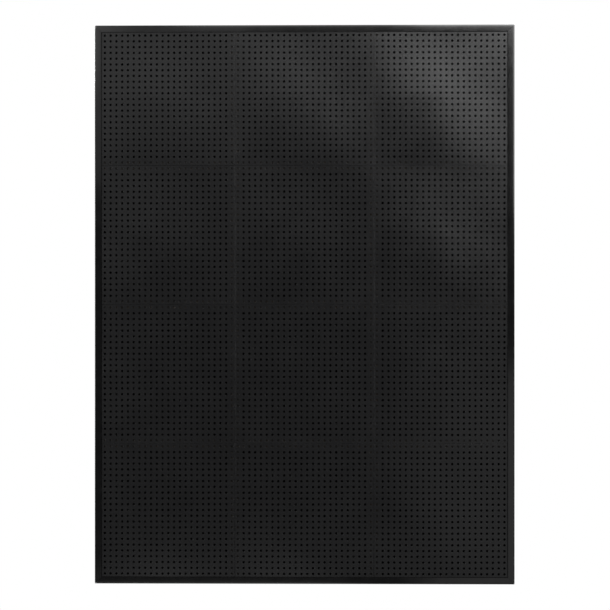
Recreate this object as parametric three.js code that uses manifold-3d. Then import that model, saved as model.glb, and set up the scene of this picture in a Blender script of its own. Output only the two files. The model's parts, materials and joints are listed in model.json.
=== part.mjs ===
// Framed pegboard for a workshop wall: twelve perforated tiles in a mitred black frame,
// carried at the back by a lattice of halved battens and hung by two D-rings.
// Millimetres. X runs to the right, Z runs up, and the wall is the plane Y = 0.
// The board's face looks towards -Y. The origin is the middle of the board on the wall plane.

import * as THREE from 'three';
import { mergeVertices } from 'three/addons/utils/BufferGeometryUtils.js';
import Module from 'manifold-3d';

const wasm = await Module();
wasm.setup();

// ---- Driving dimensions -------------------------------------------------------------

// Tiles
const TILE_COLUMNS = 3;
const TILE_ROWS = 4;
const TILE_WIDTH = 304.8;
const TILE_HEIGHT = 304.8;
const TILE_THICKNESS = 3.2;
const SEAM_GAP = 0.4;

// The frame's lip covers the outermost row of peg holes, one hole pitch wide.
const HOLE_PITCH = 12.7;

// Frame extrusion: a lip in front, a groove for the tiles, and a slotted channel behind
const FRAME_DEPTH = 20;
const LIP_THICKNESS = 1.8;
const WALL_THICKNESS = 1.8;
const WEB_THICKNESS = 1.5;
const TILE_EDGE_CLEARANCE = 1;
const LIP_OVERHANG = 2;
const CHANNEL_SLOT = 4.6;
const OUTER_ROUND = 2.2;
const LIP_ROUND = 0.7;
const MITRE_GAP = 0.3;

// Gap kept between any two pieces that touch
const FIT = 0.3;

// Battens behind the seams, their backs set in from the back of the frame
const BATTEN_WIDTH = 32;
const BATTEN_RECESS = 2.4;

// Corner keys and their grub screws
const KEY_LEG = 48;
const KEY_THICKNESS = 3;
const GRUB_RADIUS = 2.5;
const GRUB_FROM_CORNER = 36;

// Countersunk screws that hold the batten ends to the frame
const FRAME_SCREW_RADIUS = 2;
const FRAME_SCREW_HEAD_RADIUS = 3.8;
const FRAME_SCREW_LENGTH = 42;
const FRAME_SCREW_POINT = 5;

// D-ring hangers
const HANGER_DROP = 130;
const STRAP_WIDTH = 12;
const STRAP_LENGTH = 34;
const STRAP_THICKNESS = 1.2;
const RING_WIRE_RADIUS = 1.3;
const RING_RADIUS = 10;
const RING_CORNER_RADIUS = 3;
const RING_DROP = 15;
const HANGER_SCREW_RADIUS = 1.6;
const HANGER_SCREW_HEAD_RADIUS = 3.2;
const HANGER_SCREW_HEAD_HEIGHT = 1.8;
const HANGER_SCREW_LENGTH = 9;
const HANGER_SCREW_POINT = 3;
const HANGER_SCREW_DROPS = [8, 25];

// Rubber bumpers pushed into the channel slot
const BUMPER_THICKNESS = 4;
const BUMPER_RADIUS = 5;
const BUMPER_STEM_RADIUS = 2;
const BUMPER_STEM_LENGTH = 2.6;
const BUMPER_FROM_CORNER = 75;

// ---- Sizes worked out from them -----------------------------------------------------

const TILE_STEP_X = TILE_WIDTH + SEAM_GAP;
const TILE_STEP_Z = TILE_HEIGHT + SEAM_GAP;
const RIM = WALL_THICKNESS + TILE_EDGE_CLEARANCE;
const BOARD_WIDTH = TILE_COLUMNS * TILE_STEP_X - SEAM_GAP + 2 * RIM;
const BOARD_HEIGHT = TILE_ROWS * TILE_STEP_Z - SEAM_GAP + 2 * RIM;
const LIP_WIDTH = RIM + HOLE_PITCH;
const TOTAL_DEPTH = FRAME_DEPTH + BUMPER_THICKNESS;

// Depths measured back from the front of the lip
const TILE_FRONT = LIP_THICKNESS + FIT;
const TILE_BACK = TILE_FRONT + TILE_THICKNESS;
const WEB_FRONT = TILE_BACK + FIT;
const WEB_BACK = WEB_FRONT + WEB_THICKNESS;
const REAR_LIP_FRONT = FRAME_DEPTH - WEB_THICKNESS;
const BATTEN_FRONT = WEB_FRONT;
const BATTEN_BACK = FRAME_DEPTH - BATTEN_RECESS;
const BATTEN_MIDDLE = (BATTEN_FRONT + BATTEN_BACK) / 2;

// Distances measured in from the frame's outer face
const CHANNEL_REACH = LIP_WIDTH - LIP_OVERHANG;
const CHANNEL_FAR = CHANNEL_REACH - WEB_THICKNESS;
const CHANNEL_MIDDLE = (WALL_THICKNESS + CHANNEL_FAR) / 2;
const BATTEN_INSET = CHANNEL_REACH + FIT;

const ROUND_SEGMENTS = 12;

// ---- Finishes -----------------------------------------------------------------------

const finishes = {
  tile: new THREE.MeshStandardMaterial({ color: 0x1b1b1c, roughness: 0.5, metalness: 0 }),
  frame: new THREE.MeshStandardMaterial({ color: 0x0c0c0d, roughness: 0.35, metalness: 0.1 }),
  batten: new THREE.MeshStandardMaterial({ color: 0x121110, roughness: 0.8, metalness: 0 }),
  zinc: new THREE.MeshStandardMaterial({ color: 0x9a9c9f, roughness: 0.35, metalness: 1 }),
  blackScrew: new THREE.MeshStandardMaterial({ color: 0x101011, roughness: 0.4, metalness: 0.6 }),
  rubber: new THREE.MeshStandardMaterial({ color: 0x161616, roughness: 0.9, metalness: 0 }),
};

// ---- Helpers ------------------------------------------------------------------------

// A closed geometry with shared corners and nothing but positions.
function bare(geometry) {
  const copy = geometry.clone();
  copy.deleteAttribute('normal');
  copy.deleteAttribute('uv');
  return mergeVertices(copy, 1e-4);
}

function toSolid(geometry) {
  const merged = bare(geometry);
  const vertProperties = new Float32Array(merged.attributes.position.array);
  const triVerts = new Uint32Array(merged.index.array);
  return new wasm.Manifold(new wasm.Mesh({ numProp: 3, vertProperties, triVerts }));
}

function toGeometry(solid) {
  const mesh = solid.getMesh();
  const geometry = new THREE.BufferGeometry();
  const positions = new THREE.BufferAttribute(new Float32Array(mesh.vertProperties), 3);
  geometry.setAttribute('position', positions);
  geometry.setIndex(new THREE.BufferAttribute(new Uint32Array(mesh.triVerts), 1));
  return geometry;
}

// The geometry with each of the cutting geometries taken out of it.
function cut(geometry, cutters) {
  let solid = toSolid(geometry);
  for (const cutter of cutters) {
    solid = solid.subtract(toSolid(cutter));
  }
  return toGeometry(solid);
}

// A turned solid: [radius, height] pairs from bottom to top, its axis along +Z.
function turned(profile, segments = ROUND_SEGMENTS) {
  const points = profile.map(([radius, height]) => new THREE.Vector2(radius, height));
  const geometry = new THREE.LatheGeometry(points, segments);
  geometry.rotateX(Math.PI / 2);
  return geometry;
}

function rod(radius, from, to) {
  return turned([[0, from], [radius, from], [radius, to], [0, to]]);
}

// A block given by its low and high corners.
function block(low, high) {
  const size = high.map((value, axis) => value - low[axis]);
  const geometry = new THREE.BoxGeometry(...size);
  geometry.translate(...low.map((value, axis) => value + size[axis] / 2));
  return geometry;
}

// Depth behind the lip's front face, as a Y coordinate.
function atDepth(depth) {
  return depth - TOTAL_DEPTH;
}

const board = new THREE.Group();

function add(name, geometry, finish) {
  const mesh = new THREE.Mesh(bare(geometry), finish);
  mesh.name = name;
  board.add(mesh);
  return mesh;
}

// ---- Tiles --------------------------------------------------------------------------

function columnCentre(column) {
  return (column - (TILE_COLUMNS - 1) / 2) * TILE_STEP_X;
}

// Row 0 is the top row.
function rowCentre(row) {
  return ((TILE_ROWS - 1) / 2 - row) * TILE_STEP_Z;
}

function addTiles() {
  for (let row = 0; row < TILE_ROWS; row += 1) {
    for (let column = 0; column < TILE_COLUMNS; column += 1) {
      const plate = new THREE.BoxGeometry(TILE_WIDTH, TILE_THICKNESS, TILE_HEIGHT);
      const tile = add(`tile_row_${row + 1}_column_${column + 1}`, plate, finishes.tile);
      tile.position.set(columnCentre(column), atDepth(TILE_FRONT + TILE_THICKNESS / 2), rowCentre(row));
    }
  }
}

// ---- Frame rails --------------------------------------------------------------------

// The extrusion's section: x is the distance in from the outer face, y the depth
// behind the front of the lip.
function railSection() {
  const slotLow = CHANNEL_MIDDLE - CHANNEL_SLOT / 2;
  const slotHigh = CHANNEL_MIDDLE + CHANNEL_SLOT / 2;
  const lipEnd = LIP_WIDTH - LIP_ROUND;
  const section = new THREE.Shape();
  section.moveTo(OUTER_ROUND, 0);
  section.lineTo(lipEnd, 0);
  section.absarc(lipEnd, LIP_ROUND, LIP_ROUND, -Math.PI / 2, 0, false);
  section.lineTo(LIP_WIDTH, LIP_THICKNESS);
  section.lineTo(WALL_THICKNESS, LIP_THICKNESS);
  section.lineTo(WALL_THICKNESS, WEB_FRONT);
  section.lineTo(CHANNEL_REACH, WEB_FRONT);
  section.lineTo(CHANNEL_REACH, FRAME_DEPTH);
  section.lineTo(slotHigh, FRAME_DEPTH);
  section.lineTo(slotHigh, REAR_LIP_FRONT);
  section.lineTo(CHANNEL_FAR, REAR_LIP_FRONT);
  section.lineTo(CHANNEL_FAR, WEB_BACK);
  section.lineTo(WALL_THICKNESS, WEB_BACK);
  section.lineTo(WALL_THICKNESS, REAR_LIP_FRONT);
  section.lineTo(slotLow, REAR_LIP_FRONT);
  section.lineTo(slotLow, FRAME_DEPTH);
  section.lineTo(0, FRAME_DEPTH);
  section.lineTo(0, OUTER_ROUND);
  section.absarc(OUTER_ROUND, OUTER_ROUND, OUTER_ROUND, Math.PI, Math.PI * 1.5, false);
  return section;
}

// A rail along its own +Z with both ends mitred at 45 degrees.
function mitredRail(length) {
  const geometry = new THREE.ExtrudeGeometry(railSection(), {
    depth: length,
    steps: 1,
    curveSegments: 4,
    bevelEnabled: false,
  });
  const setBack = MITRE_GAP / Math.SQRT2;
  const position = geometry.attributes.position;
  for (let i = 0; i < position.count; i += 1) {
    const inwards = position.getX(i) + setBack;
    const atStart = position.getZ(i) < length / 2;
    position.setZ(i, atStart ? inwards : length - inwards);
  }
  return geometry;
}

// A countersunk hole through the rail from its outer face, at a distance along it. The
// sloping seat is widened enough to keep the gap square to its face.
function frameScrewHole(along) {
  const widening = FIT * Math.SQRT2;
  const radius = FRAME_SCREW_RADIUS + widening;
  const headRadius = FRAME_SCREW_HEAD_RADIUS + widening;
  const past = 1;
  const slope = (headRadius - radius) / WALL_THICKNESS;
  const hole = turned([
    [0, -past],
    [headRadius + slope * past, -past],
    [radius, WALL_THICKNESS],
    [radius, CHANNEL_REACH + past],
    [0, CHANNEL_REACH + past],
  ]);
  hole.rotateY(Math.PI / 2);
  hole.translate(0, BATTEN_MIDDLE, along);
  return hole;
}

const X = new THREE.Vector3(1, 0, 0);
const Y = new THREE.Vector3(0, 1, 0);
const Z = new THREE.Vector3(0, 0, 1);
const LEFT = -BOARD_WIDTH / 2;
const RIGHT = BOARD_WIDTH / 2;
const BOTTOM = -BOARD_HEIGHT / 2;
const TOP = BOARD_HEIGHT / 2;

const SEAMS_X = Array.from({ length: TILE_COLUMNS - 1 }, (_, i) => columnCentre(i) + TILE_STEP_X / 2);
const SEAMS_Z = Array.from({ length: TILE_ROWS - 1 }, (_, i) => rowCentre(i) - TILE_STEP_Z / 2);

// Each side of the frame: where it starts, the way in from its outer face, its length,
// and how far along it from its start each batten ends on it.
const sides = {
  left: {
    start: [LEFT, BOTTOM],
    inwards: X,
    length: BOARD_HEIGHT,
    battens: SEAMS_Z.map((z) => z - BOTTOM),
  },
  top: {
    start: [LEFT, TOP],
    inwards: Z.clone().negate(),
    length: BOARD_WIDTH,
    battens: SEAMS_X.map((x) => x - LEFT),
  },
  right: {
    start: [RIGHT, TOP],
    inwards: X.clone().negate(),
    length: BOARD_HEIGHT,
    battens: SEAMS_Z.map((z) => TOP - z),
  },
  bottom: {
    start: [RIGHT, BOTTOM],
    inwards: Z,
    length: BOARD_WIDTH,
    battens: SEAMS_X.map((x) => RIGHT - x),
  },
};

// Puts a mesh made in a side's own axes (in, back, along) in its place.
function placeOnSide(mesh, side) {
  const along = new THREE.Vector3().crossVectors(side.inwards, Y);
  const turn = new THREE.Matrix4().makeBasis(side.inwards, Y, along);
  mesh.quaternion.setFromRotationMatrix(turn);
  mesh.position.set(side.start[0], atDepth(0), side.start[1]);
}

function addRails() {
  for (const [name, side] of Object.entries(sides)) {
    const rail = cut(mitredRail(side.length), side.battens.map(frameScrewHole));
    placeOnSide(add(`frame_rail_${name}`, rail, finishes.frame), side);
  }
}

// ---- Corner keys and grub screws ----------------------------------------------------

// An L-shaped plate in the channel, with one leg along each of the two rails. It is made
// in the axes of the side that starts at its corner.
function cornerKey() {
  const near = WALL_THICKNESS + FIT;
  const far = CHANNEL_FAR - FIT;
  const outline = new THREE.Shape([
    new THREE.Vector2(near, near),
    new THREE.Vector2(near, KEY_LEG),
    new THREE.Vector2(far, KEY_LEG),
    new THREE.Vector2(far, far),
    new THREE.Vector2(KEY_LEG, far),
    new THREE.Vector2(KEY_LEG, near),
  ]);
  const plate = new THREE.ExtrudeGeometry(outline, { depth: KEY_THICKNESS, bevelEnabled: false });
  const hole = rod(GRUB_RADIUS + FIT, -1, KEY_THICKNESS + 1);
  const alongHole = hole.clone().translate(CHANNEL_MIDDLE, GRUB_FROM_CORNER, 0);
  const acrossHole = hole.clone().translate(GRUB_FROM_CORNER, CHANNEL_MIDDLE, 0);
  const key = cut(plate, [alongHole, acrossHole]);
  // Outline (in, along) becomes (in, back, along), with the plate's back at the rear lips.
  key.rotateX(Math.PI / 2);
  key.translate(0, REAR_LIP_FRONT - FIT, 0);
  return key;
}

function grubScrew(inwards, along) {
  const front = WEB_BACK + FIT;
  const back = REAR_LIP_FRONT - FIT;
  const edge = 0.6;
  const screw = turned([
    [0, front],
    [GRUB_RADIUS - edge, front],
    [GRUB_RADIUS, front + edge],
    [GRUB_RADIUS, back],
    [0, back],
  ]);
  screw.rotateX(-Math.PI / 2);
  screw.translate(inwards, 0, along);
  return screw;
}

const corners = {
  bottom_left: sides.left,
  top_left: sides.top,
  top_right: sides.right,
  bottom_right: sides.bottom,
};

function addCornerKeys() {
  for (const [name, side] of Object.entries(corners)) {
    placeOnSide(add(`corner_key_${name}`, cornerKey(), finishes.zinc), side);
    const first = grubScrew(CHANNEL_MIDDLE, GRUB_FROM_CORNER);
    const second = grubScrew(GRUB_FROM_CORNER, CHANNEL_MIDDLE);
    placeOnSide(add(`grub_screw_${name}_1`, first, finishes.blackScrew), side);
    placeOnSide(add(`grub_screw_${name}_2`, second, finishes.blackScrew), side);
  }
}

// ---- Battens ------------------------------------------------------------------------

// Pilot hole for the frame screw in a batten's end, with the end's inwards direction
// along +Z and the rail's outer face at Z = 0.
function pilotHole() {
  return rod(FRAME_SCREW_RADIUS + FIT, BATTEN_INSET - 1, FRAME_SCREW_LENGTH + FIT);
}

// Pilot holes for a hanger's screws in the back of an upright.
function hangerPilots(x) {
  return HANGER_SCREW_DROPS.map((drop) => {
    const tip = BATTEN_BACK + FIT + STRAP_THICKNESS + FIT - HANGER_SCREW_LENGTH;
    const pilot = rod(HANGER_SCREW_RADIUS + FIT, tip - FIT, BATTEN_BACK + 1);
    pilot.rotateX(-Math.PI / 2);
    pilot.translate(x, atDepth(0), TOP - HANGER_DROP - drop);
    return pilot;
  });
}

// An upright is notched from the back where a cross batten passes.
function addUprights() {
  SEAMS_X.forEach((x, i) => {
    const half = BATTEN_WIDTH / 2;
    const low = [x - half, atDepth(BATTEN_FRONT), BOTTOM + BATTEN_INSET];
    const high = [x + half, atDepth(BATTEN_BACK), TOP - BATTEN_INSET];
    const notches = SEAMS_Z.map((z) => block(
      [low[0] - 1, atDepth(BATTEN_MIDDLE - FIT / 2), z - half - FIT],
      [high[0] + 1, high[1] + 1, z + half + FIT],
    ));
    const lower = pilotHole().translate(x, atDepth(BATTEN_MIDDLE), BOTTOM);
    const upper = pilotHole().rotateX(Math.PI).translate(x, atDepth(BATTEN_MIDDLE), TOP);
    const upright = cut(block(low, high), [...notches, lower, upper, ...hangerPilots(x)]);
    add(`upright_batten_${i + 1}`, upright, finishes.batten);
  });
}

// A cross batten is notched from the front where an upright passes.
function addCrossBattens() {
  SEAMS_Z.forEach((z, i) => {
    const half = BATTEN_WIDTH / 2;
    const low = [LEFT + BATTEN_INSET, atDepth(BATTEN_FRONT), z - half];
    const high = [RIGHT - BATTEN_INSET, atDepth(BATTEN_BACK), z + half];
    const notches = SEAMS_X.map((x) => block(
      [x - half - FIT, low[1] - 1, low[2] - 1],
      [x + half + FIT, atDepth(BATTEN_MIDDLE + FIT / 2), high[2] + 1],
    ));
    const left = pilotHole().rotateY(Math.PI / 2).translate(LEFT, atDepth(BATTEN_MIDDLE), z);
    const right = pilotHole().rotateY(-Math.PI / 2).translate(RIGHT, atDepth(BATTEN_MIDDLE), z);
    const batten = cut(block(low, high), [...notches, left, right]);
    add(`cross_batten_${i + 1}`, batten, finishes.batten);
  });
}

// ---- Frame screws -------------------------------------------------------------------

// A countersunk screw, its head flush with the rail's outer face at Z = 0.
function frameScrew() {
  return turned([
    [0, 0],
    [FRAME_SCREW_HEAD_RADIUS, 0],
    [FRAME_SCREW_RADIUS, WALL_THICKNESS],
    [FRAME_SCREW_RADIUS, FRAME_SCREW_LENGTH - FRAME_SCREW_POINT],
    [0, FRAME_SCREW_LENGTH],
  ]);
}

function addFrameScrews() {
  for (const [name, side] of Object.entries(sides)) {
    side.battens.forEach((along, i) => {
      const screw = frameScrew();
      screw.rotateY(Math.PI / 2);
      screw.translate(0, BATTEN_MIDDLE, along);
      placeOnSide(add(`frame_screw_${name}_${i + 1}`, screw, finishes.blackScrew), side);
    });
  }
}

// ---- D-ring hangers -----------------------------------------------------------------

const BARREL_BORE = RING_WIRE_RADIUS + FIT;
const BARREL_RADIUS = STRAP_THICKNESS + BARREL_BORE;

// A strap with a rolled barrel at its top. Its section is drawn with x down from the
// barrel's centre and y back from the batten; the strap hangs below the barrel.
function strap() {
  const section = new THREE.Shape();
  const rise = STRAP_THICKNESS - BARREL_RADIUS;
  const meet = Math.asin(rise / BARREL_RADIUS);
  section.moveTo(STRAP_LENGTH, 0);
  section.lineTo(STRAP_LENGTH, STRAP_THICKNESS);
  section.absarc(0, BARREL_RADIUS, BARREL_RADIUS, meet, Math.PI * 1.5, false);
  const bore = new THREE.Path();
  bore.absarc(0, BARREL_RADIUS, BARREL_BORE, 0, Math.PI * 2, true);
  section.holes.push(bore);
  const plate = new THREE.ExtrudeGeometry(section, {
    depth: STRAP_WIDTH,
    steps: 1,
    curveSegments: ROUND_SEGMENTS,
    bevelEnabled: false,
  });
  plate.translate(0, 0, -STRAP_WIDTH / 2);
  const holes = HANGER_SCREW_DROPS.map((drop) => {
    const hole = rod(HANGER_SCREW_RADIUS + FIT, -1, STRAP_THICKNESS + 1);
    return hole.rotateX(-Math.PI / 2).translate(drop, 0, 0);
  });
  // Section x points down, section y points back, and the extrusion runs across.
  return cut(plate, holes).rotateY(Math.PI / 2);
}

// The ring's wire: a straight bar in the barrel, rounded corners and a half-round bow.
function ringPath() {
  const corner = RING_CORNER_RADIUS;
  const bowCentre = RING_DROP - RING_RADIUS;
  const path = new THREE.CurvePath();
  const left = new THREE.Vector3(corner - RING_RADIUS, 0, 0);
  const right = new THREE.Vector3(RING_RADIUS - corner, 0, 0);
  path.add(new THREE.LineCurve3(left, right));
  path.add(new THREE.QuadraticBezierCurve3(
    right,
    new THREE.Vector3(RING_RADIUS, 0, 0),
    new THREE.Vector3(RING_RADIUS, 0, -corner),
  ));
  const bow = [];
  const steps = 12;
  for (let i = 0; i <= steps; i += 1) {
    const angle = (Math.PI * i) / steps;
    const z = -bowCentre - RING_RADIUS * Math.sin(angle);
    bow.push(new THREE.Vector3(RING_RADIUS * Math.cos(angle), 0, z));
  }
  bow.unshift(new THREE.Vector3(RING_RADIUS, 0, -corner));
  bow.push(new THREE.Vector3(-RING_RADIUS, 0, -corner));
  path.add(new THREE.CatmullRomCurve3(bow));
  path.add(new THREE.QuadraticBezierCurve3(
    new THREE.Vector3(-RING_RADIUS, 0, -corner),
    new THREE.Vector3(-RING_RADIUS, 0, 0),
    left,
  ));
  return path;
}

function hangerScrew() {
  const head = HANGER_SCREW_HEAD_HEIGHT;
  return turned([
    [0, -HANGER_SCREW_LENGTH],
    [HANGER_SCREW_RADIUS, HANGER_SCREW_POINT - HANGER_SCREW_LENGTH],
    [HANGER_SCREW_RADIUS, 0],
    [HANGER_SCREW_HEAD_RADIUS, 0],
    [HANGER_SCREW_HEAD_RADIUS, head * 0.4],
    [HANGER_SCREW_HEAD_RADIUS * 0.6, head],
    [0, head],
  ]).rotateX(-Math.PI / 2);
}

function addHangers() {
  const strapFront = BATTEN_BACK + FIT;
  const barrelDepth = strapFront + BARREL_RADIUS;
  const height = TOP - HANGER_DROP;
  ['left', 'right'].forEach((name, i) => {
    const x = i === 0 ? SEAMS_X[0] : SEAMS_X[SEAMS_X.length - 1];
    const plate = add(`hanger_strap_${name}`, strap(), finishes.zinc);
    plate.position.set(x, atDepth(strapFront), height);
    const wire = new THREE.TubeGeometry(ringPath(), 40, RING_WIRE_RADIUS, 8, true);
    const ring = add(`hanger_ring_${name}`, wire, finishes.zinc);
    ring.position.set(x, atDepth(barrelDepth), height);
    HANGER_SCREW_DROPS.forEach((drop, k) => {
      const screw = add(`hanger_screw_${name}_${k + 1}`, hangerScrew(), finishes.zinc);
      screw.position.set(x, atDepth(strapFront + STRAP_THICKNESS + FIT), height - drop);
    });
  });
}

// ---- Wall bumpers -------------------------------------------------------------------

function bumper() {
  return turned([
    [0, -BUMPER_STEM_LENGTH],
    [BUMPER_STEM_RADIUS, -BUMPER_STEM_LENGTH],
    [BUMPER_STEM_RADIUS, FIT],
    [BUMPER_RADIUS, FIT],
    [BUMPER_RADIUS, BUMPER_THICKNESS * 0.6],
    [BUMPER_RADIUS * 0.8, BUMPER_THICKNESS],
    [0, BUMPER_THICKNESS],
  ], 16).rotateX(-Math.PI / 2);
}

function addBumpers() {
  for (const across of [-1, 1]) {
    for (const up of [-1, 1]) {
      const name = `${up < 0 ? 'bottom' : 'top'}_${across < 0 ? 'left' : 'right'}`;
      const mesh = add(`wall_bumper_${name}`, bumper(), finishes.rubber);
      const x = across * (RIGHT - CHANNEL_MIDDLE);
      const z = up * (TOP - BUMPER_FROM_CORNER);
      mesh.position.set(x, atDepth(FRAME_DEPTH), z);
    }
  }
}

addTiles();
addRails();
addCornerKeys();
addUprights();
addCrossBattens();
addFrameScrews();
addHangers();
addBumpers();

export default board;
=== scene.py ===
"""The look of a framed pegboard: its visible pieces, their finishes and a plain studio.

Metres. X runs to the right, Z runs up, and the board's face looks towards -Y. Places come
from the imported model, so every piece sits where its solid does.
"""

import json
import math
import random

import bmesh
import bpy
import numpy as np
from bpy.props import FloatProperty, FloatVectorProperty, IntProperty, PointerProperty
from mathutils import Matrix, Vector


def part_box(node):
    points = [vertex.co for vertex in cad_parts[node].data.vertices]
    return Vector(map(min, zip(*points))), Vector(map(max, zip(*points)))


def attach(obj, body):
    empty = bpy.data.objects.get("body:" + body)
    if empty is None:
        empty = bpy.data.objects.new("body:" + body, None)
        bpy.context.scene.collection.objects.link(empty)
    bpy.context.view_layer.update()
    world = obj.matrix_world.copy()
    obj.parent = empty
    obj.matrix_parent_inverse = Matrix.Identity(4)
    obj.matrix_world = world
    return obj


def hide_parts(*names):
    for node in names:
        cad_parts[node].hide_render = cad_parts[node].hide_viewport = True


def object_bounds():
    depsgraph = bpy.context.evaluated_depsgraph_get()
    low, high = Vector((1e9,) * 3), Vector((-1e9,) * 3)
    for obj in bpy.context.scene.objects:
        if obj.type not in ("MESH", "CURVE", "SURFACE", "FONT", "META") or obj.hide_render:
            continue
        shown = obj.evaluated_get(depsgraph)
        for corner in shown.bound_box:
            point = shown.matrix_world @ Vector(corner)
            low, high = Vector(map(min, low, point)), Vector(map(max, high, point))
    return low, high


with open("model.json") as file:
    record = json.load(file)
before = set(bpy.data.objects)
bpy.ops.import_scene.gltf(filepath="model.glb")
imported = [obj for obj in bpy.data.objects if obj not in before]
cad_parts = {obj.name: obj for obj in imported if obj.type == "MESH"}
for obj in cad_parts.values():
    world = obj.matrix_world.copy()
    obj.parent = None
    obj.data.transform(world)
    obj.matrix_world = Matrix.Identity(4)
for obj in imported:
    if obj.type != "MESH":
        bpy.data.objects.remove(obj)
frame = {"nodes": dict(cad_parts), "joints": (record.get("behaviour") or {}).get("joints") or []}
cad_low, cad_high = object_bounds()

bl_info = {
    "name": "Framed Pegboard",
    "version": (1, 0, 0),
    "blender": (4, 5, 0),
    "location": "3D View > Sidebar > Pegboard",
    "description": "Builds a framed pegboard with perforated tiles, battens and D-ring hangers",
    "category": "Object",
}

MILLIMETRE = 0.001
SIDES = ("left", "top", "right", "bottom")
CORNERS = ("bottom_left", "top_left", "top_right", "bottom_right")
HANDS = ("left", "right")


# ---- Settings -----------------------------------------------------------------------------


def length(name, description, millimetres):
    """A length setting whose default is given in millimetres."""
    return FloatProperty(
        name=name,
        description=description,
        default=millimetres * MILLIMETRE,
        min=0.0,
        precision=5,
        subtype="DISTANCE",
        unit="LENGTH",
    )


def colour(name, description, default):
    return FloatVectorProperty(
        name=name, description=description, default=default, size=3, min=0.0, max=1.0, subtype="COLOR"
    )


class PegboardSizes(bpy.types.PropertyGroup):
    """Sizes that shape the pieces"""

    hole_pitch: length("Hole pitch", "Distance between the middles of two peg holes", 12.7)
    hole_diameter: length("Hole diameter", "Width of a peg hole", 5.2)
    hole_sides: IntProperty(
        name="Hole sides", description="Flats round each peg hole, a multiple of eight", default=16, min=8
    )
    rim_round: length("Rim round", "Softened edge round a peg hole", 0.12)
    tile_edge_round: length("Tile edge round", "Softened edge round a tile", 0.35)
    crown_rise: length("Crown rise", "How far a tile's middle stands proud of its edges", 1.2)
    crown_twist: length("Crown twist", "How strongly a tile's middle turns up and to the right", 3.0)
    crown_crease: length("Crown crease", "Width over which a tile's creases turn", 9.0)
    wall_thickness: length("Wall thickness", "Outer wall of the frame's section", 1.8)
    web_thickness: length("Web thickness", "Inner walls of the frame's section", 1.5)
    outer_round: length("Outer round", "Rounding of the frame's outer front edge", 0.9)
    face_fall: length("Face fall", "How far the lip's face falls away at its two edges", 0.08)
    crest_place: FloatProperty(
        name="Crest place",
        description="Where the lip's face is highest, as a share of its width",
        default=0.15,
    )
    lip_bevel: length("Lip bevel", "Width of the steep bevel on the lip's inner edge", 1.4)
    channel_slot: length("Channel slot", "Width of the slot in the back of the frame", 4.6)
    mitre_gap: length("Mitre gap", "Gap between two rails at a corner", 0.5)
    batten_edge_round: length("Batten edge round", "Softened arris of a batten", 0.8)
    # Painted shade: thickness of the dark card behind the battens that stands in for the shade seen through
    # the peg holes
    backing_thickness: length("Backing thickness", "Dark card that closes the back of each bay", 0.8)
    ring_wire: length("Ring wire", "Thickness of a D-ring's wire", 2.6)
    strap_thickness: length("Strap thickness", "Thickness of a hanger's strap", 1.2)


class PegboardColours(bpy.types.PropertyGroup):
    """Base colours of the finishes"""

    tile_paint: colour("Tile paint", "Satin black on the hardboard", (0.0095, 0.0095, 0.0101))
    frame_coat: colour("Frame coat", "Satin black on the rails", (0.002, 0.002, 0.0022))
    batten_stain: colour("Batten stain", "Dark stain on the battens", (0.008, 0.007, 0.006))
    # Painted shade: colour of the card behind the battens, seen through the peg holes in place of the shade
    # inside them
    backing_card: colour("Backing card", "Black card behind the battens", (0.006, 0.006, 0.006))
    zinc: colour("Zinc plate", "Bright plated steel", (0.62, 0.63, 0.65))
    black_oxide: colour("Black oxide", "Blackened screws", (0.03, 0.03, 0.032))
    rubber: colour("Rubber", "Bumpers", (0.018, 0.018, 0.018))
    dust: colour("Dust", "Settled dust", (0.20, 0.19, 0.18))
    floor: colour("Floor", "Shade of the floor as the board's surfaces reflect it", (0.30, 0.30, 0.30))


class PegboardStudio(bpy.types.PropertyGroup):
    """The camera and the surroundings"""

    camera_distance: FloatProperty(
        name="Camera distance", description="From the middle of the board", default=4.0, unit="LENGTH"
    )
    camera_turn: FloatProperty(
        name="Camera turn",
        description="Round the board, to its right",
        default=math.radians(0.9),
        subtype="ANGLE",
    )
    view_width: FloatProperty(
        name="View width",
        description="Width that the camera takes in at the board",
        default=1.338,
        unit="LENGTH",
    )
    fill: FloatProperty(name="Fill", description="Brightness of the surroundings", default=0.06)


def sizes():
    return bpy.context.scene.pegboard_sizes


def colours():
    return bpy.context.scene.pegboard_colours


def studio():
    return bpy.context.scene.pegboard_studio


# ---- Shader node groups ------------------------------------------------------------------


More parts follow.
